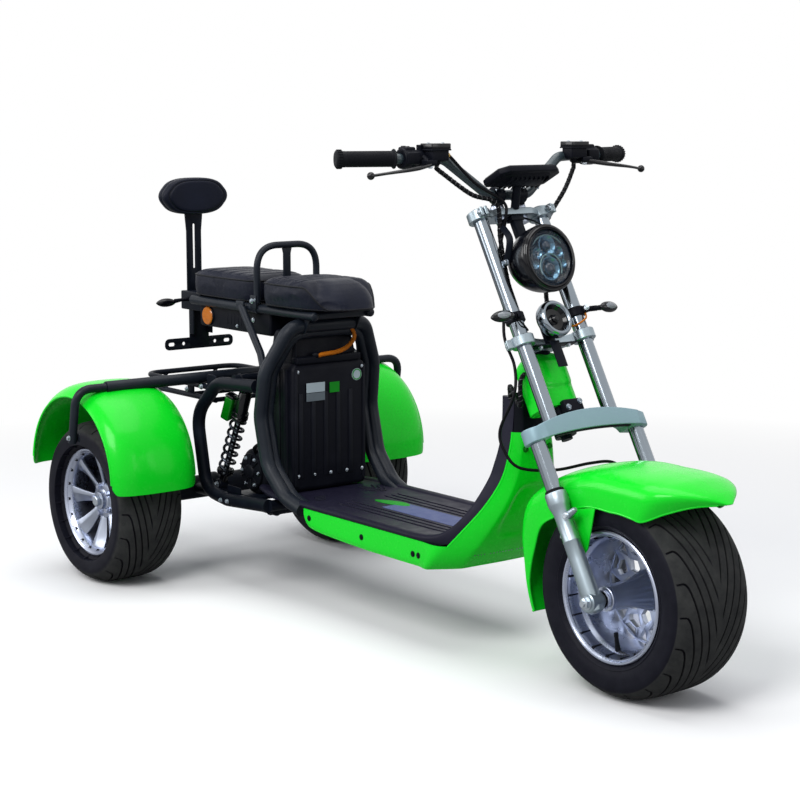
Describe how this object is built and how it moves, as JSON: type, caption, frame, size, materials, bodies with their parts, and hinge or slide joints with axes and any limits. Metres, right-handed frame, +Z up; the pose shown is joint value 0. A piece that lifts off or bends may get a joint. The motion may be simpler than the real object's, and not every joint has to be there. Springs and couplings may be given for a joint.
{
  "type": "electric tricycle",
  "caption": "Electric tricycle with a wide front wheel in a raked fork, a flat deck, seats in line on a tube frame and wide rear wheels under fenders.",
  "frame": {"origin": "centre of the bounding box at floor level", "axes": "+X forward along the length, +Y to the rider's left, +Z up"},
  "size_m": [1.9963, 1.037, 1.126],
  "materials": {
    "black_steel": "satin",
    "green_gloss": "gloss",
    "black_plastic": "satin",
    "black_leather": "satin",
    "chrome_tube": "gloss",
    "silver_alloy": "satin",
    "polished_alloy": "gloss",
    "tyre_rubber": "matt",
    "grip_rubber": "matt",
    "clear_lens": "gloss"
  },
  "bodies": {
    "chassis": {"main_frame": "black_steel", "deck_pan": "green_gloss", "apron": "green_gloss", "foot_mat": "black_plastic", "head_cowl": "green_gloss", "seat_hoop": "black_steel", "seat_base": "black_steel", "battery_box": "black_plastic", "driver_seat": "black_leather", "passenger_seat": "black_leather", "grab_hoop": "black_steel", "tail_bracket": "black_steel", "backrest_pad": "black_leather", "fender_bar": "black_steel", "cargo_rack": "black_steel", "rear_axle": "black_steel", "drive_motor": "black_steel", "rear_fender_right": "green_gloss", "rear_fender_left": "green_gloss", "rear_shock_right": "black_steel", "rear_shock_left": "black_steel", "frame_loom_right": "grip_rubber", "frame_loom_left": "grip_rubber"},
    "steering": {"front_axle": "chrome_tube", "lower_crown": "silver_alloy", "mid_clamp": "silver_alloy", "top_clamp": "silver_alloy", "upper_tube_right": "chrome_tube", "upper_tube_left": "chrome_tube", "fork_leg_right": "silver_alloy", "fork_leg_left": "silver_alloy", "grip_right": "grip_rubber", "grip_left": "grip_rubber", "control_right": "black_plastic", "control_left": "black_plastic", "front_signal_right": "clear_lens", "front_signal_left": "clear_lens", "handlebar": "black_steel", "headlight": "black_plastic", "horn": "chrome_tube", "front_fender": "green_gloss", "loom_right": "grip_rubber", "loom_left": "grip_rubber", "brake_hose": "grip_rubber"},
    "front_wheel": {"front_tyre": "tyre_rubber", "front_rim": "polished_alloy"},
    "rear_wheel_right": {"rear_tyre_right": "tyre_rubber", "rear_rim_right": "polished_alloy"},
    "rear_wheel_left": {"rear_tyre_left": "tyre_rubber", "rear_rim_left": "polished_alloy"}
  },
  "joints": [
    {"name": "steer", "type": "hinge", "parent": "chassis", "child": "steering", "pos_m": [0.71005, 0, 0.18536], "axis": [-0.4894, 0, 0.8721], "range_deg": [-35, 35]},
    {"name": "front_wheel_spin", "type": "hinge", "parent": "steering", "child": "front_wheel", "pos_m": [0.76411, 0, 0.2157], "axis": [0, 1, 0], "continuous": true},
    {"name": "rear_wheel_right_spin", "type": "hinge", "parent": "chassis", "child": "rear_wheel_right", "pos_m": [-0.76789, -0.365, 0.2064], "axis": [0, 1, 0], "continuous": true},
    {"name": "rear_wheel_left_spin", "type": "hinge", "parent": "chassis", "child": "rear_wheel_left", "pos_m": [-0.76789, 0.365, 0.2064], "axis": [0, 1, 0], "continuous": true}
  ]
}
